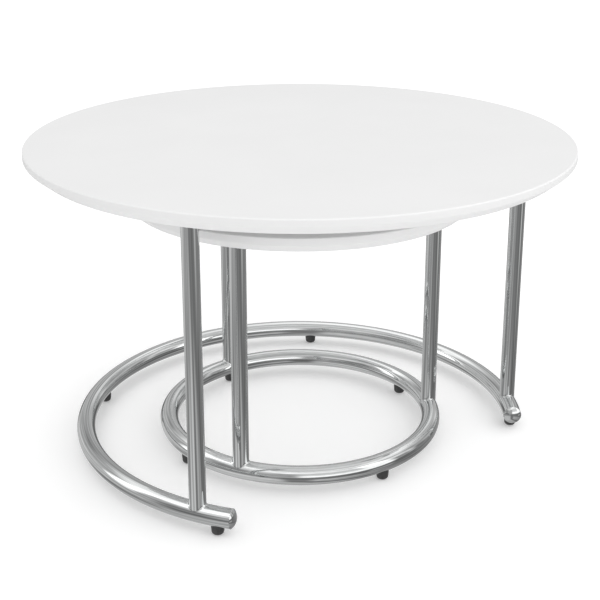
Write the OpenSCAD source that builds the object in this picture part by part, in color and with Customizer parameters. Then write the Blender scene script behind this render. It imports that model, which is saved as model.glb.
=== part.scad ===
// Nest of two round tables on tubular steel frames.
// The large table stands on a C-shaped tube that is open at the front (-Y), and the small
// table stands inside it on a closed ring and draws out through that opening.
// Millimetres, +Z up. The origin is on the floor, under the middle of the large top.

/* [Table tops] */
// Diameter of the large top
large_top_d = 750; // [720:5:780]
// Diameter of the small top
small_top_d = 500; // [480:5:510]
// Thickness of both tops
top_t = 22; // [18:1:28]
// Upright part of the edge, measured down from the upper face
edge_upright = 10; // [6:0.5:12]
// How far the undercut below it runs in towards the middle
edge_undercut = 15; // [8:0.5:18]
// Radius that rounds the upper edge
edge_r = 2; // [0.5:0.5:3]

/* [Heights] */
// Floor to the upper face of the large top
large_h = 440; // [430:1:460]
// Floor to the upper face of the small top
small_h = 376; // [360:1:384]

/* [Tubes] */
// Outside diameter of the legs
leg_d = 22; // [20:1:24]
// Outside diameter of the tube that each base is bent from
ring_tube_d = 26; // [25:1:30]
// Wall of every tube
wall = 1.5; // [1:0.25:2]
// Centre-line diameter of the C-shaped base of the large table
large_ring_d = 625; // [600:5:640]
// Centre-line diameter of the closed base ring of the small table
small_ring_d = 385; // [360:5:400]
// Angle of the opening in the C-shaped base
opening_angle = 103; // [96:1:104]

/* [Feet] */
// Height of a foot below the underside of the tube
foot_h = 11; // [8:0.5:14]
// Diameter of a foot at the floor
foot_floor_d = 15.5; // [12:0.5:16]
// Diameter of a foot against the tube
foot_top_d = 17.5; // [15:0.5:18]
// Diameter of the plug that holds a foot in the tube
foot_stem_d = 8; // [6:0.5:10]

/* [Fixings] */
// Diameter of the plate on top of each leg
plate_d = 60; // [52:1:64]
// Thickness of the plate
plate_t = 3; // [2:0.5:4]
// Diameter of the circle of screws in a plate
plate_pcd = 42; // [36:1:44]
// Length of a screw under its head
screw_l = 16; // [12:1:18]
// Thread diameter of a screw
screw_d = 4; // [3.5:0.5:4.5]

/* [Hidden] */
$fn = 96;

white = "#f2f2f2";
steel = "#b4b8ba";
zinc = "#9a9d9f";
black = "#202020";

// Angles are counted from +X, anticlockwise seen from above. Both tables share the legs' angles.
front_right = -30;
back = 90;
front_left = -150;
leg_angles = [front_left, front_right, back];
large_foot_front = 125; // either side of the back leg
large_foot_back = 39;
opening_right = -90 + opening_angle / 2; // where the C-shaped base ends on the right
opening_left = -90 - opening_angle / 2;

tube_r = ring_tube_d / 2;
ring_z = foot_h + tube_r;
fit_gap = 0.05; // between a plug or foot and the tube that it sits in
foot_edge_r = 4.5;
stem_l = 9; // of a foot's plug, from the tube's underside
plug_rim = 0.5; // thickness of an end plug outside the tube
plug_dome = 5.5; // height of the dome on the rim
plug_depth = 2; // angle that an end plug reaches into the tube
plug_join = 0.05; // and the angle that this stub runs into the plug's rim, so that they are one solid
plate_hole_d = 4.5;
screw_head_d = 8;
screw_head_h = 2.4;
slot_l = 4.6; // cross recess in a screw head
slot_w = 1;
slot_depth = 1.2;
eps = 0.1;

// ---------- shapes that both tables use ----------

// Places its children on a circle of radius r at angle a, facing outwards
module around(r, a) {
    rotate([0, 0, a]) translate([r, 0, 0]) children();
}

// Solid bent tube of radius r, centred on a circle of diameter d, from angle a over angle span
module bent_bar(d, r, a = 0, span = 360) {
    translate([0, 0, ring_z])
        rotate([0, 0, a])
            rotate_extrude(angle = span, $fn = 240)
                translate([d / 2, 0]) circle(r);
}

module top_panel(d, h, ring_d) {
    r = d / 2;
    pilot_depth = screw_l - plate_t + 1;
    color(white)
        difference() {
            translate([0, 0, h - top_t])
                rotate_extrude($fn = 240) {
                    polygon([[0, 0], [r - edge_undercut, 0], [r, top_t - edge_upright],
                             [r, top_t - edge_r], [r - edge_r, top_t], [0, top_t]]);
                    translate([r - edge_r, top_t - edge_r]) circle(edge_r);
                }
            for (a = leg_angles)
                around(ring_d / 2, a) screw_circle()
                    translate([0, 0, h - top_t - eps])
                        cylinder(h = pilot_depth + eps, d = screw_d + 2 * fit_gap);
        }
}

module leg(h, ring_d, a) {
    leg_top = h - top_t - plate_t;
    color(steel)
        difference() {
            around(ring_d / 2, a)
                translate([0, 0, ring_z])
                    difference() {
                        cylinder(h = leg_top - ring_z, d = leg_d);
                        translate([0, 0, -eps])
                            cylinder(h = leg_top - ring_z + 2 * eps, d = leg_d - 2 * wall);
                    }
            bent_bar(ring_d, tube_r);
        }
}

// Repeats its children at the three screw positions of a plate
module screw_circle() {
    for (a = [60 : 120 : 300])
        around(plate_pcd / 2, a) children();
}

module plate(h, ring_d, a) {
    color(steel)
        around(ring_d / 2, a)
            translate([0, 0, h - top_t - plate_t])
                difference() {
                    cylinder(h = plate_t, d = plate_d);
                    screw_circle()
                        translate([0, 0, -eps]) cylinder(h = plate_t + 2 * eps, d = plate_hole_d);
                }
}

// Pan-head screw, its head hanging below z = 0 and its thread going up
module screw() {
    difference() {
        union() {
            cylinder(h = screw_l, d = screw_d, $fn = 32);
            translate([0, 0, -screw_head_h]) cylinder(h = screw_head_h, d = screw_head_d, $fn = 48);
        }
        for (a = [0, 90])
            rotate([0, 0, a])
                translate([-slot_l / 2, -slot_w / 2, -screw_head_h - eps])
                    cube([slot_l, slot_w, slot_depth + eps]);
    }
}

module plate_screws(h, ring_d) {
    color(zinc)
        for (a = leg_angles)
            around(ring_d / 2, a) screw_circle()
                translate([0, 0, h - top_t - plate_t]) screw();
}

// Round hole through the underside of a tube, for the plug of a foot
module foot_hole(ring_d, a) {
    around(ring_d / 2, a)
        translate([0, 0, foot_h - eps])
            cylinder(h = tube_r, d = foot_stem_d + 2 * fit_gap);
}

// Tapered glide with a rounded lower edge, cut to the tube that it sits against
module foot(ring_d, a) {
    floor_r = foot_floor_d / 2;
    top_r = foot_top_d / 2;
    body_top = foot_h + tube_r / 2;
    color(black) {
        difference() {
            around(ring_d / 2, a)
                rotate_extrude() {
                    polygon([[0, 0], [floor_r - foot_edge_r, 0], [floor_r, foot_edge_r],
                             [top_r, foot_h], [top_r, body_top], [0, body_top]]);
                    intersection() {
                        translate([floor_r - foot_edge_r, foot_edge_r]) circle(foot_edge_r);
                        square([floor_r, foot_edge_r]);
                    }
                }
            bent_bar(ring_d, tube_r + fit_gap);
        }
        around(ring_d / 2, a)
            translate([0, 0, foot_h / 2]) cylinder(h = foot_h / 2 + stem_l, d = foot_stem_d);
    }
}

// ---------- large table ----------

large_feet = [back - large_foot_front, back - large_foot_back,
              back + large_foot_back, back + large_foot_front];

module large_top() top_panel(large_top_d, large_h, large_ring_d);

module large_ring() {
    span = 360 - opening_angle;
    color(steel)
        difference() {
            bent_bar(large_ring_d, tube_r, opening_right, span);
            bent_bar(large_ring_d, tube_r - wall, opening_right - 1, span + 2);
            for (a = large_feet) foot_hole(large_ring_d, a);
        }
}

// Domed end plug, lying past the end of the tube at angle a; side is 1 or -1
module end_plug(a, side) {
    bore_r = tube_r - wall - fit_gap;
    dome_r = (tube_r * tube_r + plug_dome * plug_dome) / (2 * plug_dome);
    color(steel) {
        around(large_ring_d / 2, a)
            translate([0, 0, ring_z]) rotate([90 * side, 0, 0]) {
                cylinder(h = plug_rim, r = tube_r);
                translate([0, 0, plug_rim])
                    rotate_extrude()
                        intersection() {
                            translate([0, plug_dome - dome_r]) circle(dome_r, $fn = 360);
                            square([tube_r, plug_dome]);
                        }
            }
        bent_bar(large_ring_d, bore_r, side > 0 ? a - plug_join : a - plug_depth,
                 plug_depth + plug_join);
    }
}

module large_leg_front_left() leg(large_h, large_ring_d, front_left);
module large_leg_front_right() leg(large_h, large_ring_d, front_right);
module large_leg_back() leg(large_h, large_ring_d, back);
module large_plate_front_left() plate(large_h, large_ring_d, front_left);
module large_plate_front_right() plate(large_h, large_ring_d, front_right);
module large_plate_back() plate(large_h, large_ring_d, back);
module large_plate_screws() plate_screws(large_h, large_ring_d);
module large_end_plug_left() end_plug(opening_left, -1);
module large_end_plug_right() end_plug(opening_right, 1);
module large_foot_front_left() foot(large_ring_d, large_feet[3]);
module large_foot_front_right() foot(large_ring_d, large_feet[0]);
module large_foot_back_left() foot(large_ring_d, large_feet[2]);
module large_foot_back_right() foot(large_ring_d, large_feet[1]);

// ---------- small table ----------

small_feet = [-90, 0, 90, 180];

module small_top() top_panel(small_top_d, small_h, small_ring_d);

module small_ring() {
    color(steel)
        difference() {
            bent_bar(small_ring_d, tube_r);
            bent_bar(small_ring_d, tube_r - wall);
            for (a = small_feet) foot_hole(small_ring_d, a);
        }
}

module small_leg_front_left() leg(small_h, small_ring_d, front_left);
module small_leg_front_right() leg(small_h, small_ring_d, front_right);
module small_leg_back() leg(small_h, small_ring_d, back);
module small_plate_front_left() plate(small_h, small_ring_d, front_left);
module small_plate_front_right() plate(small_h, small_ring_d, front_right);
module small_plate_back() plate(small_h, small_ring_d, back);
module small_plate_screws() plate_screws(small_h, small_ring_d);
module small_foot_front() foot(small_ring_d, small_feet[0]);
module small_foot_right() foot(small_ring_d, small_feet[1]);
module small_foot_back() foot(small_ring_d, small_feet[2]);
module small_foot_left() foot(small_ring_d, small_feet[3]);

large_top();
large_ring();
large_leg_front_left();
large_leg_front_right();
large_leg_back();
large_plate_front_left();
large_plate_front_right();
large_plate_back();
large_plate_screws();
large_end_plug_left();
large_end_plug_right();
large_foot_front_left();
large_foot_front_right();
large_foot_back_left();
large_foot_back_right();
small_top();
small_ring();
small_leg_front_left();
small_leg_front_right();
small_leg_back();
small_plate_front_left();
small_plate_front_right();
small_plate_back();
small_plate_screws();
small_foot_front();
small_foot_right();
small_foot_back();
small_foot_left();
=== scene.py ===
"""Nesting tables: two white round tops on polished tube frames, the small one inside the large one."""
import math
from types import SimpleNamespace

import bmesh
import bpy
from mathutils import Matrix, Vector


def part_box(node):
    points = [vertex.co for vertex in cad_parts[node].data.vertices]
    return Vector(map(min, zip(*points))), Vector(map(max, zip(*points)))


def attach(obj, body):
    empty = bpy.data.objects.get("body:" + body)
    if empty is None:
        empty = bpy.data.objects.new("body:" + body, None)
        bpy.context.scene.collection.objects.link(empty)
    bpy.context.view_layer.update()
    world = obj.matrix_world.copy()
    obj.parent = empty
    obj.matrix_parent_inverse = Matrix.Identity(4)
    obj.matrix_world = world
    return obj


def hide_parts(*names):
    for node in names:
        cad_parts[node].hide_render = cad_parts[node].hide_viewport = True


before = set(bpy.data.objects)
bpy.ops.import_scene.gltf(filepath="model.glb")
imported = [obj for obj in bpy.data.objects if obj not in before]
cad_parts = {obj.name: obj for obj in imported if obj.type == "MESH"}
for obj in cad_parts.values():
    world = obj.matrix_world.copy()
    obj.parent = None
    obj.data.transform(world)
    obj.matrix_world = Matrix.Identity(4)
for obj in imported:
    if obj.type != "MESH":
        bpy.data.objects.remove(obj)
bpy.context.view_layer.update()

MM = 0.001

# ---------------------------------------------------------------- camera

CAMERA_AZIMUTH = 35.7      # degrees from the front (-Y) towards -X
CAMERA_DISTANCE = 1.637    # level distance from the middle of the tables
CAMERA_HEIGHT = 0.84
CAMERA_PITCH = 18.0        # degrees below level
CAMERA_LENS = 73.2
CAMERA_SHIFT = -0.12
CAMERA_NEAR = 0.05
CAMERA_FAR = 50


def make_camera():
    data = bpy.data.cameras.new("camera")
    data.lens = CAMERA_LENS
    data.shift_y = CAMERA_SHIFT
    data.clip_start = CAMERA_NEAR
    data.clip_end = CAMERA_FAR
    camera = bpy.data.objects.new("camera", data)
    turn = math.radians(CAMERA_AZIMUTH)
    camera.location = (-math.sin(turn) * CAMERA_DISTANCE, -math.cos(turn) * CAMERA_DISTANCE,
                       CAMERA_HEIGHT)
    camera.rotation_euler = (math.radians(90 - CAMERA_PITCH), 0, -turn)
    bpy.context.scene.collection.objects.link(camera)
    bpy.context.scene.camera = camera


# ---------------------------------------------------------------- node helpers

NOISE_LOW, NOISE_HIGH = 0.25, 0.75  # most of a noise texture's values lie between these


def new_material(name):
    """A node material with its Principled shader."""
    material = bpy.data.materials.new(name)
    material.use_nodes = True
    nodes, links = material.node_tree.nodes, material.node_tree.links
    return material, nodes, links, nodes["Principled BSDF"]


def add_node(nodes, kind, **values):
    node = nodes.new(kind)
    for key, value in values.items():
        setattr(node, key, value)
    return node


def feed(links, value, socket):
    """Links a node's output to the socket, or sets the socket to a number or colour."""
    if isinstance(value, bpy.types.NodeSocket):
        links.new(value, socket)
    else:
        socket.default_value = value


def coordinates(nodes, name):
    return nodes.new("ShaderNodeTexCoord").outputs[name]


def split(nodes, links, vector):
    """The X, Y and Z parts of a vector."""
    node = nodes.new("ShaderNodeSeparateXYZ")
    links.new(vector, node.inputs["Vector"])
    return [node.outputs[axis] for axis in "XYZ"]


def noise(nodes, links, vector, scale, detail=2.0, roughness=0.5):
    node = nodes.new("ShaderNodeTexNoise")
    node.inputs["Scale"].default_value = scale
    node.inputs["Detail"].default_value = detail
    node.inputs["Roughness"].default_value = roughness
    links.new(vector, node.inputs["Vector"])
    return node.outputs["Fac"]


def stretched(nodes, links, vector, scale):
    node = nodes.new("ShaderNodeMapping")
    node.inputs["Scale"].default_value = scale
    links.new(vector, node.inputs["Vector"])
    return node.outputs["Vector"]


def remap(nodes, links, value, low, high):
    """Takes a noise to the range from low to high."""
    node = nodes.new("ShaderNodeMapRange")
    node.inputs["From Min"].default_value = NOISE_LOW
    node.inputs["From Max"].default_value = NOISE_HIGH
    node.inputs["To Min"].default_value = low
    node.inputs["To Max"].default_value = high
    links.new(value, node.inputs["Value"])
    return node.outputs["Result"]


def fade(nodes, links, value, zero_at, one_at):
    """0 to 1 as value goes from zero_at to one_at, with soft ends."""
    node = add_node(nodes, "ShaderNodeMapRange", interpolation_type="SMOOTHSTEP")
    node.inputs["From Min"].default_value = zero_at
    node.inputs["From Max"].default_value = one_at
    links.new(value, node.inputs["Value"])
    return node.outputs["Result"]


def calculate(nodes, links, operation, *values):
    node = add_node(nodes, "ShaderNodeMath", operation=operation)
    for value, socket in zip(values, node.inputs):
        feed(links, value, socket)
    return node.outputs[0]


def blend(nodes, links, share, a, b, data_type="FLOAT"):
    """From a to b as share goes from 0 to 1."""
    node = add_node(nodes, "ShaderNodeMix", data_type=data_type)
    for value, name in ((share, "Factor"), (a, "A"), (b, "B")):
        feed(links, value, node.inputs[name])
    return node.outputs["Result"]


def two_tones(nodes, links, share, dark, light):
    return blend(nodes, links, share, dark, light, "RGBA")


def grey(level):
    return (level, level, level, 1)


def bump(nodes, links, height, distance, strength=1.0, normal=None):
    node = nodes.new("ShaderNodeBump")
    node.inputs["Distance"].default_value = distance
    node.inputs["Strength"].default_value = strength
    links.new(height, node.inputs["Height"])
    if normal is not None:
        links.new(normal, node.inputs["Normal"])
    return node.outputs["Normal"]


# ---------------------------------------------------------------- materials

EDGE_HIGHLIGHT_GAIN = 2.6             # brings the peak of up minus its cube to 1, for the painted highlight on the rounded upper edge


def lacquer():
    """White satin lacquer on board: faint orange peel and polish marks, and a painted highlight: a
    lighter base colour on the rounded upper edge.
    """
    material, nodes, links, shader = new_material("white_lacquer")
    place = coordinates(nodes, "Object")
    clouds = noise(nodes, links, place, 9.0, 3.0)
    peel = noise(nodes, links, place, 620.0, 2.0)
    wipes = noise(nodes, links, stretched(nodes, links, place, (12.0, 90.0, 60.0)), 2.0, 4.0)
    # 0 on level and upright faces, 1 about halfway round the rounded upper edge, below 0 underneath:
    # where the painted highlight lightens the base colour
    up = split(nodes, links, coordinates(nodes, "Normal"))[2]
    cube = calculate(nodes, links, "POWER", up, 3.0)
    painted_edge_highlight = calculate(nodes, links, "MULTIPLY", calculate(nodes, links, "SUBTRACT", up, cube), EDGE_HIGHLIGHT_GAIN)
    paint = two_tones(nodes, links, clouds, grey(0.775), grey(0.805))
    # Painted highlight: the base colour goes lighter, to 0.86, on the rounded upper edge, standing in
    # for light caught there
    links.new(two_tones(nodes, links, painted_edge_highlight, paint, grey(0.86)), shader.inputs["Base Color"])
    links.new(remap(nodes, links, wipes, 0.42, 0.52), shader.inputs["Roughness"])
    links.new(bump(nodes, links, peel, 0.02 * MM, 0.35), shader.inputs["Normal"])
    shader.inputs["Specular IOR Level"].default_value = 0.12
    return material


def tube_steel():
    """Polished stainless tube: long fine streaks that follow the tube, with slightly uneven polish."""
    material, nodes, links, shader = new_material("tube_steel")
    run = add_node(nodes, "ShaderNodeUVMap", uv_map="run").outputs["UV"]
    streaks = noise(nodes, links, stretched(nodes, links, run, (1.2, 400.0, 1.0)), 1.0, 2.0, 0.6)
    fine = noise(nodes, links, stretched(nodes, links, run, (1.5, 1300.0, 1.0)), 1.0, 1.0)
    patches = noise(nodes, links, stretched(nodes, links, run, (14.0, 60.0, 1.0)), 1.0, 2.0)
    # Past 0 and 1, so that the strongest streaks reach the full tones
    contrast = remap(nodes, links, streaks, -0.4, 1.4)
    links.new(two_tones(nodes, links, contrast, (0.48, 0.49, 0.49, 1), (0.82, 0.83, 0.83, 1)),
              shader.inputs["Base Color"])
    links.new(remap(nodes, links, patches, 0.03, 0.06), shader.inputs["Roughness"])
    soft = bump(nodes, links, streaks, 0.06 * MM, 0.4)
    links.new(bump(nodes, links, fine, 0.01 * MM, 0.4, soft), shader.inputs["Normal"])
    shader.inputs["Metallic"].default_value = 1.0
    return material


def plate_steel():
    """Brushed steel plate."""
    material, nodes, links, shader = new_material("plate_steel")
    place = coordinates(nodes, "Object")
    brushed = noise(nodes, links, stretched(nodes, links, place, (25.0, 1800.0, 1800.0)), 1.0, 3.0)
    links.new(two_tones(nodes, links, brushed, (0.50, 0.51, 0.52, 1), (0.60, 0.61, 0.62, 1)),
              shader.inputs["Base Color"])
    links.new(remap(nodes, links, brushed, 0.28, 0.40), shader.inputs["Roughness"])
    links.new(bump(nodes, links, brushed, 0.02 * MM, 0.4), shader.inputs["Normal"])
    shader.inputs["Metallic"].default_value = 1.0
    return material


def zinc():
    """Zinc-plated screws, slightly mottled."""
    material, nodes, links, shader = new_material("zinc")
    mottle = noise(nodes, links, coordinates(nodes, "Object"), 900.0, 3.0)
    links.new(two_tones(nodes, links, mottle, (0.52, 0.53, 0.54, 1), (0.63, 0.64, 0.66, 1)),
              shader.inputs["Base Color"])
    links.new(remap(nodes, links, mottle, 0.25, 0.38), shader.inputs["Roughness"])
    links.new(bump(nodes, links, mottle, 0.01 * MM, 0.5), shader.inputs["Normal"])
    shader.inputs["Metallic"].default_value = 1.0
    return material


def black_plastic():
    """Moulded black glide: a fine spark-eroded grain, a little greyer where it is rubbed."""
    material, nodes, links, shader = new_material("black_plastic")
    place = coordinates(nodes, "Object")
    grain = noise(nodes, links, place, 2600.0, 2.0)
    rubbed = noise(nodes, links, place, 140.0, 3.0)
    links.new(two_tones(nodes, links, rubbed, grey(0.030), grey(0.055)), shader.inputs["Base Color"])
    links.new(remap(nodes, links, rubbed, 0.30, 0.42), shader.inputs["Roughness"])
    links.new(bump(nodes, links, grain, 0.02 * MM, 0.4), shader.inputs["Normal"])
    return material


# ---------------------------------------------------------------- mesh helpers


def rounded(points, radii, steps):
    """A (radius, height) outline with the corner at each point rounded by its radius."""
    out = []
    for i, (point, r) in enumerate(zip(points, radii)):
        here = Vector(point)
        if not r or i in (0, len(points) - 1):
            out.append(here)
            continue
        to_last = (Vector(points[i - 1]) - here).normalized()
        to_next = (Vector(points[i + 1]) - here).normalized()
        half = to_last.angle(to_next) / 2
        centre = here + (to_last + to_next).normalized() * (r / math.sin(half))
        start = here + to_last * (r / math.tan(half)) - centre
        end = here + to_next * (r / math.tan(half)) - centre
        sweep = start.angle_signed(end)
        for k in range(steps + 1):
            out.append(centre + Matrix.Rotation(-sweep * k / steps, 2) @ start)
    return out


def lathe_rows(outline, segments, place=Matrix.Identity(4)):
    """Rows of points for an outline of (radius, height) turned about the place's Z axis."""
    rows = []
    for r, z in outline:
        row = []
        for k in range(segments):
            a = math.tau * k / segments
            row.append(place @ Vector((r * math.cos(a), r * math.sin(a), z)))
        rows.append(row)
    return rows


def skin(name, rows, wrap_rows=False, caps=(True, True), run=None, sharp=35):
    """A mesh over rows of points, each row closed on itself. An edge of more than sharp degrees stays
    sharp. run gives each row's place along the piece and the way round it, which the streaks follow."""
    mesh = bpy.data.meshes.new(name)
    bm = bmesh.new()
    uv = bm.loops.layers.uv.new("run")
    verts = [[bm.verts.new(p) for p in row] for row in rows]
    count = len(rows[0])
    last = len(rows) if wrap_rows else len(rows) - 1
    for i in range(last):
        a, b = verts[i], verts[(i + 1) % len(rows)]
        for j in range(count):
            k = (j + 1) % count
            face = bm.faces.new((a[j], a[k], b[k], b[j]))
            if run:
                along, around = run
                corners = ((i, j), (i, j + 1), (i + 1, j + 1), (i + 1, j))
                for loop, (row, step) in zip(face.loops, corners):
                    loop[uv].uv = (along(row), around * step / count)
    for row, cap in zip((verts[0], verts[-1]), caps):
        if cap:
            middle = bm.verts.new(sum((v.co for v in row), Vector()) / count)
            for j in range(count):
                bm.faces.new((row[j], row[(j + 1) % count], middle))
    bmesh.ops.recalc_face_normals(bm, faces=bm.faces)
    bm.to_mesh(mesh)
    bm.free()
    mesh.shade_smooth()
    mesh.set_sharp_from_angle(angle=math.radians(sharp))
    return mesh


def finish_mesh(mesh, material, body, nodes):
    """Makes a piece of the mesh, and puts it on its body in place of the CAD nodes."""
    mesh.materials.append(material)
    piece = bpy.data.objects.new(mesh.name, mesh)
    bpy.context.scene.collection.objects.link(piece)
    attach(piece, body)
    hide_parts(*nodes)


# ---------------------------------------------------------------- sizes, from the frame


def sizes_of(table):
    """The sizes of one table, from its CAD nodes."""
    ring_low, ring_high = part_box(f"{table}_ring")
    top_low, top_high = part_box(f"{table}_top")
    leg_low, leg_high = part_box(f"{table}_leg_back")
    plate_low, plate_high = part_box(f"{table}_plate_back")
    tube_r = (ring_high.z - ring_low.z) / 2
    return SimpleNamespace(
        name=table,
        body=f"{table}_table",
        tube_r=tube_r,
        ring_z=(ring_high.z + ring_low.z) / 2,
        ring_r=(ring_high.x - ring_low.x) / 2 - tube_r,
        ring_front=-ring_low.y,
        top_r=(top_high.x - top_low.x) / 2,
        top_z=top_high.z,
        top_under=top_low.z,
        leg_r=(leg_high.x - leg_low.x) / 2,
        plate_r=(plate_high.x - plate_low.x) / 2,
        plate_z=plate_low.z,
        plate_t=plate_high.z - plate_low.z,
    )


def middle_of(node):
    low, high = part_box(node)
    return (low + high) / 2


# ---------------------------------------------------------------- tops

EDGE_UPRIGHT = 10 * MM
EDGE_UNDERCUT = 15 * MM
EDGE_UPPER_R = 2.2 * MM    # rounds the corner with the top face
EDGE_MIDDLE_R = 3 * MM     # between the upright part and the undercut
EDGE_LOWER_R = 1.5 * MM    # between the undercut and the underside


def make_top(table, material):
    """Round top: flat face, rounded upper edge, upright band, then an undercut to the underside."""
    r, high, low = table.top_r, table.top_z, table.top_under
    outline = rounded(
        [(0, high), (r / 2, high), (r, high), (r, high - EDGE_UPRIGHT),
         (r - EDGE_UNDERCUT, low), (r / 2, low), (0, low)],
        [0, 0, EDGE_UPPER_R, EDGE_MIDDLE_R, EDGE_LOWER_R, 0, 0], steps=8)
    mesh = skin(f"{table.name}_top_panel", lathe_rows(outline[1:-1], segments=256), sharp=60)
    finish_mesh(mesh, material, table.body, [f"{table.name}_top"])


# ---------------------------------------------------------------- base tubes and end plugs

RING_STEPS = 288           # in a full turn
TUBE_SIDES = 64
FULL_TURN = math.tau - 1e-6


def ring_point(table, angle, around, r):
    """A point r from the centre line of the bent tube; around is 0 on the underside."""
    level = table.ring_r + r * math.sin(around)
    height = table.ring_z - r * math.cos(around)
    return Vector((level * math.cos(angle), level * math.sin(angle), height))


def make_ring(table, start, end, material):
    """The tube that the base is bent from. A full turn closes on itself."""
    closed = end - start > FULL_TURN
    steps = round(RING_STEPS * (end - start) / math.tau)
    angles = [start + (end - start) * k / steps for k in range(steps if closed else steps + 1)]
    rows = [[ring_point(table, a, math.tau * j / TUBE_SIDES, table.tube_r) for j in range(TUBE_SIDES)]
            for a in angles]
    step_length = (end - start) / steps * table.ring_r
    run = (lambda row: row * step_length, math.tau * table.tube_r)
    mesh = skin(f"{table.name}_base_tube", rows, closed, (not closed, not closed), run)
    finish_mesh(mesh, material, table.body, [f"{table.name}_ring"])


def tube_height(table, x, y, side, r):
    """Height of a tube of radius r round the base's centre line, above (1) or below (-1) it."""
    off = math.hypot(x, y) - table.ring_r
    return table.ring_z + side * math.sqrt(max(r * r - off * off, 0))


PLUG_RIM = 0.5 * MM
PLUG_DOME = 5.5 * MM
PLUG_BEVEL = 0.2 * MM
PLUG_STEPS = 24


def make_end_plug(table, where, angle, material):
    """Domed plug in an open end of the base tube; angle is where the tube ends."""
    r = table.tube_r
    dome_r = (r * r + PLUG_DOME * PLUG_DOME) / (2 * PLUG_DOME)
    widest = math.asin(r / dome_r)
    outline = [Vector((r - PLUG_BEVEL, 0)), Vector((r, PLUG_BEVEL / 2))]
    for k in range(PLUG_STEPS):
        a = widest * (1 - k / PLUG_STEPS)
        height = PLUG_RIM + PLUG_DOME - dome_r * (1 - math.cos(a))
        outline.append(Vector((dome_r * math.sin(a), height)))
    outward = -1 if where == "right" else 1
    axis = Vector((-math.sin(angle), math.cos(angle), 0)) * outward
    facing = axis.to_track_quat("Z", "Y").to_matrix().to_4x4()
    place = Matrix.Translation(ring_point(table, angle, 0, 0)) @ facing
    mesh = skin(f"{table.name}_tube_plug_{where}", lathe_rows(outline, 72, place), sharp=30)
    finish_mesh(mesh, material, table.body, [f"{table.name}_end_plug_{where}"])


# ---------------------------------------------------------------- legs and plates

LEG_SIDES = 72
WELD_R = 2.8 * MM
WELD_STEPS = 5             # in the weld to the base; the weld to the plate has one fewer
WELD_HOLD = 1.5 * MM       # from a weld to the row of points that keeps the tube beside it straight


def make_leg(table, where, material):
    """A leg, with its weld to the base tube below and to its plate above."""
    centre = middle_of(f"{table.name}_leg_{where}")
    up = Vector((0, 0, 1))
    columns = []
    for j in range(LEG_SIDES):
        a = math.tau * j / LEG_SIDES
        out = Vector((math.cos(a), math.sin(a), 0))
        foot = Vector((centre.x, centre.y, 0)) + out * (table.leg_r + WELD_R)
        foot.z = tube_height(table, foot.x, foot.y, 1, table.tube_r + WELD_R)
        on_ring = Vector((foot.x, foot.y, 0)).normalized() * table.ring_r
        to_tube = (Vector((on_ring.x, on_ring.y, table.ring_z)) - foot).normalized()
        top = Vector((foot.x, foot.y, table.plate_z - WELD_R))
        column = [foot + to_tube.slerp(-out, k / WELD_STEPS) * WELD_R for k in range(WELD_STEPS + 1)]
        column.append(foot - out * WELD_R + up * WELD_HOLD)
        column.append(top - out * WELD_R - up * WELD_HOLD)
        column += [top + (-out).slerp(up, k / (WELD_STEPS - 1)) * WELD_R for k in range(WELD_STEPS)]
        columns.append(column)
    rows = [list(row) for row in zip(*columns)]
    heights = [sum(p.z for p in row) / LEG_SIDES for row in rows]
    run = (lambda row: heights[row], math.tau * table.leg_r)
    mesh = skin(f"{table.name}_leg_tube_{where}", rows, run=run, sharp=50)
    finish_mesh(mesh, material, table.body, [f"{table.name}_leg_{where}"])


PLATE_LOWER_R = 0.6 * MM
PLATE_UPPER_R = 0.2 * MM


def make_plate(table, where, material):
    """Round plate between a leg and the top, its edge eased."""
    centre = middle_of(f"{table.name}_plate_{where}")
    r, low, high = table.plate_r, table.plate_z, table.plate_z + table.plate_t
    inner = r * 0.4
    outline = rounded([(0, low), (inner, low), (r, low), (r, high), (inner, high), (0, high)],
                      [0, 0, PLATE_LOWER_R, PLATE_UPPER_R, 0, 0], steps=4)
    place = Matrix.Translation((centre.x, centre.y, 0))
    mesh = skin(f"{table.name}_mounting_plate_{where}", lathe_rows(outline[1:-1], 96, place))
    finish_mesh(mesh, material, table.body, [f"{table.name}_plate_{where}"])


# ---------------------------------------------------------------- feet

FOOT_FLOOR_R = 7.75 * MM
FOOT_EDGE_R = 4.5 * MM
FOOT_SIDES = 48


def make_foot(table, where, material):
    """Tapered glide with a rounded lower edge, shaped to the tube above it."""
    low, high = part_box(f"{table.name}_foot_{where}")
    centre = (low + high) / 2
    top_r = (high.x - low.x) / 2
    taper_top = table.ring_z - table.tube_r
    outline = rounded([(0, low.z), (FOOT_FLOOR_R, low.z), (top_r, taper_top)],
                      [0, FOOT_EDGE_R, 0], steps=8)
    place = Matrix.Translation((centre.x, centre.y, 0))
    rows = lathe_rows(outline[1:], FOOT_SIDES, place)
    # Against the tube: the rim, a row just inside it, and one halfway to the middle
    for r in (top_r, top_r * 0.97, top_r * 0.5):
        row = lathe_rows([(r, 0)], FOOT_SIDES, place)[0]
        for p in row:
            p.z = tube_height(table, p.x, p.y, -1, table.tube_r)
        rows.append(row)
    mesh = skin(f"{table.name}_glide_{where}", rows, sharp=40)
    finish_mesh(mesh, material, table.body, [f"{table.name}_foot_{where}"])


# ---------------------------------------------------------------- floor

FLOOR_HALF = 30
FLOOR_TONE = 0.88
FLOOR_GLOW = 0.21


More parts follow.
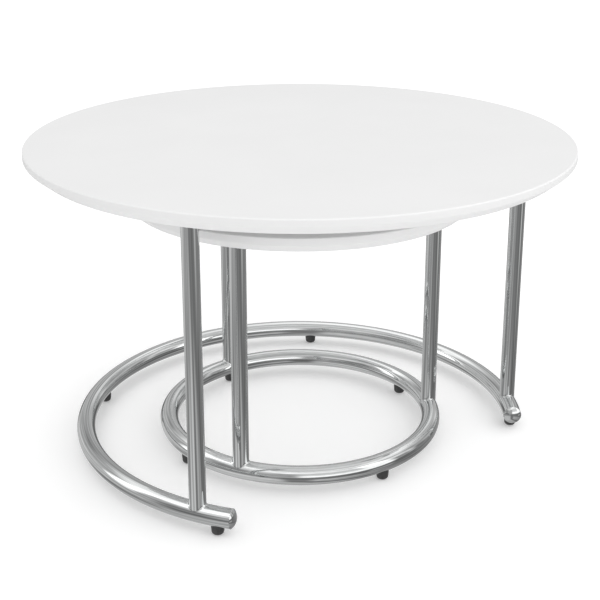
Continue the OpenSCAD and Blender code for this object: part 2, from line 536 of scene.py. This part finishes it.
def make_floor():
    """White sweep. Its faint glow keeps the shadows under the tables pale, as on a light table."""
    mesh = bpy.data.meshes.new("floor")
    half = FLOOR_HALF
    corners = [(-half, -half, 0), (half, -half, 0), (half, half, 0), (-half, half, 0)]
    mesh.from_pydata(corners, [], [(0, 1, 2, 3)])
    material, _, _, shader = new_material("floor")
    shader.inputs["Base Color"].default_value = grey(FLOOR_TONE)
    shader.inputs["Roughness"].default_value = 0.9
    shader.inputs["Specular IOR Level"].default_value = 0.0
    shader.inputs["Emission Color"].default_value = grey(1)
    shader.inputs["Emission Strength"].default_value = FLOOR_GLOW
    mesh.materials.append(material)
    floor = bpy.data.objects.new("floor", mesh)
    bpy.context.scene.collection.objects.link(floor)
    floor.visible_glossy = False


# ---------------------------------------------------------------- studio that the metal mirrors

# Directions are in degrees: round from straight ahead of the camera, positive to the right, and up from
# the horizon. The bands run right round, from the floor up: how bright each is, how much that swings
# from side to side, and the side where it is brightest.
GROUND = (0.50, 0.18, -120)
RIM = (0.28, 0.08, -80)            # a dark band where the ground ends
LOW_WALL = (0.42, 0.22, -65)
WALL = (0.52, 0.06, -60)
CEILING = (1.35, 0.20, -100)
NADIR = 0.50                       # straight down
GROUND_EDGE = (32.5, 10, 15)       # how far below the horizon the ground ends, in the same form
# Where a band takes over from the one before: up from the ground's edge, or else up from the horizon
RIM_FROM = (-2.5, 2.5)
LOW_WALL_FROM = (5, 13)
WALL_FROM = (-3, 3)
CEILING_FROM = (33, 48)
NADIR_FROM = (-66, -78)
GRAIN_SCALE = 11.0                 # of a slight unevenness over everything
GRAIN_LOW, GRAIN_HIGH = 0.85, 1.15
# Windows, lamps and dark screens: round, half width, up, half height, softness of the edge, brightness
SCREENS = (
    (-124, 14, 8, 22, 8, 0.33),
    (-178, 12, -32, 28, 7, 0.23),
    (-145, 20, -20, 4, 4, 0.44),
    (-112, 8, -18, 4, 4, 0.34),
    (-135, 17, -5, 7, 4, 0.22),
    (-75, 28, -36, 3, 3, 0.27),
    (-88, 22, -3, 3, 4, 0.62),
    (-40, 34, 0, 3, 3, 0.74),
    (-26, 14, 29, 3, 4, 0.38),
    (0, 30, -11, 8, 5, 0.14),
    (-8, 30, -48, 20, 6, 0.64),
    (38, 20, -38, 10, 8, 0.27),
    (74, 6, 10, 22, 5, 0.30),
    (90, 12, 0, 3, 3, 0.14),
    (114, 11, -17, 4, 4, 0.58),
    (112, 42, -62, 5, 5, 0.17),
    (164, 9, -57, 7, 6, 0.18),
    (145, 36, 26, 20, 8, 0.90),
    (-141, 18, 38, 8, 8, 0.95),
    (90, 13, 34, 9, 8, 0.95),
    (64, 9, 32, 9, 7, 0.70),
    (36, 4, 12, 6, 5, 0.84),
    (83, 3, 14, 10, 4, 0.80),
    (17, 8, 31, 8, 6, 0.90),
    (-85, 10, 25, 21, 5, 1.90),
    (115, 12, 26, 23, 5, 1.80),
    (146, 34, 11, 9, 5, 1.60),
)


def swing(nodes, links, bearing, band):
    """A value that swings round the room with the bearing."""
    level, change, side = band
    turn = calculate(nodes, links, "RADIANS", calculate(nodes, links, "SUBTRACT", bearing, side))
    cosine = calculate(nodes, links, "COSINE", turn)
    return calculate(nodes, links, "MULTIPLY_ADD", cosine, change, level)


def window(nodes, links, value, middle, half, soft):
    """1 within half of the middle, fading to 0 outside."""
    off = calculate(nodes, links, "SUBTRACT", value, middle)
    off = calculate(nodes, links, "ABSOLUTE", calculate(nodes, links, "WRAP", off, -180, 180))
    return fade(nodes, links, off, half + soft, half - soft)


def make_studio(nodes, links):
    """The studio's brightness in every direction."""
    way = coordinates(nodes, "Generated")
    x, y, z = split(nodes, links, way)
    bearing = calculate(nodes, links, "DEGREES", calculate(nodes, links, "ARCTAN2", x, y))
    bearing = calculate(nodes, links, "SUBTRACT", bearing, CAMERA_AZIMUTH)
    up = calculate(nodes, links, "DEGREES", calculate(nodes, links, "ARCSINE", z))
    past_ground = calculate(nodes, links, "ADD", up, swing(nodes, links, bearing, GROUND_EDGE))
    light = swing(nodes, links, bearing, GROUND)
    for height, limits, band in (
        (past_ground, RIM_FROM, RIM),
        (past_ground, LOW_WALL_FROM, LOW_WALL),
        (up, WALL_FROM, WALL),
        (up, CEILING_FROM, CEILING),
    ):
        share = fade(nodes, links, height, *limits)
        light = blend(nodes, links, share, light, swing(nodes, links, bearing, band))
    for side, half_width, height, half_height, soft, level in SCREENS:
        across = window(nodes, links, bearing, side, half_width, soft)
        upright = window(nodes, links, up, height, half_height, min(soft, half_height))
        light = blend(nodes, links, calculate(nodes, links, "MULTIPLY", across, upright), light, level)
    light = blend(nodes, links, fade(nodes, links, up, *NADIR_FROM), light, NADIR)
    grain = noise(nodes, links, way, GRAIN_SCALE, 3.0, 0.6)
    return calculate(nodes, links, "MULTIPLY", light, remap(nodes, links, grain, GRAIN_LOW, GRAIN_HIGH))


# ---------------------------------------------------------------- world

DAYLIGHT = 0.53            # from level; more comes from above, and more from one side than the other
TOP_LIGHT = 0.87
SIDE_LIGHT = 0.34
SIDE_BEARING = 110         # degrees to the right of straight ahead


def make_world():
    """White to the camera, soft white light on everything, and the studio in the metal."""
    world = bpy.data.worlds.new("studio")
    bpy.context.scene.world = world
    world.use_nodes = True
    nodes, links = world.node_tree.nodes, world.node_tree.links
    nodes.clear()
    out = nodes.new("ShaderNodeOutputWorld")
    path = nodes.new("ShaderNodeLightPath")
    gloss, plain, white = (nodes.new("ShaderNodeBackground") for _ in range(3))
    links.new(make_studio(nodes, links), gloss.inputs["Color"])
    turn = math.radians(CAMERA_AZIMUTH + SIDE_BEARING)
    toward = add_node(nodes, "ShaderNodeVectorMath", operation="DOT_PRODUCT")
    links.new(coordinates(nodes, "Generated"), toward.inputs[0])
    toward.inputs[1].default_value = (math.sin(turn) * SIDE_LIGHT, math.cos(turn) * SIDE_LIGHT,
                                      TOP_LIGHT)
    strength = calculate(nodes, links, "ADD", toward.outputs["Value"], DAYLIGHT)
    links.new(strength, plain.inputs["Strength"])
    for light in (plain, white):
        light.inputs["Color"].default_value = grey(1)
    first, second = (nodes.new("ShaderNodeMixShader") for _ in range(2))
    links.new(path.outputs["Is Glossy Ray"], first.inputs["Fac"])
    links.new(plain.outputs[0], first.inputs[1])
    links.new(gloss.outputs[0], first.inputs[2])
    links.new(path.outputs["Is Camera Ray"], second.inputs["Fac"])
    links.new(first.outputs[0], second.inputs[1])
    links.new(white.outputs[0], second.inputs[2])
    links.new(second.outputs[0], out.inputs["Surface"])


# ---------------------------------------------------------------- build

make_camera()
WHITE, STEEL, PLATE, ZINC, BLACK = lacquer(), tube_steel(), plate_steel(), zinc(), black_plastic()

large, small = sizes_of("large"), sizes_of("small")
# How far each end of the C-shaped tube runs on past the side, towards the front
past_side = math.asin(large.ring_front / (large.ring_r + large.tube_r))
left_end, right_end = math.pi + past_side, -past_side
back = math.pi / 2
for table, ends, feet in (
    (large, (right_end, left_end), ("front_left", "front_right", "back_left", "back_right")),
    (small, (back, back + math.tau), ("front", "right", "back", "left")),
):
    make_top(table, WHITE)
    make_ring(table, *ends, STEEL)
    for where in ("front_left", "front_right", "back"):
        make_leg(table, where, STEEL)
        make_plate(table, where, PLATE)
    for where in feet:
        make_foot(table, where, BLACK)
make_end_plug(large, "right", right_end, STEEL)
make_end_plug(large, "left", left_end, STEEL)
for name in ("large_plate_screws", "small_plate_screws"):
    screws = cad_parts[name]
    screws.data.materials.clear()
    screws.data.materials.append(ZINC)

make_floor()
make_world()
bpy.context.scene.view_settings.view_transform = "Standard"
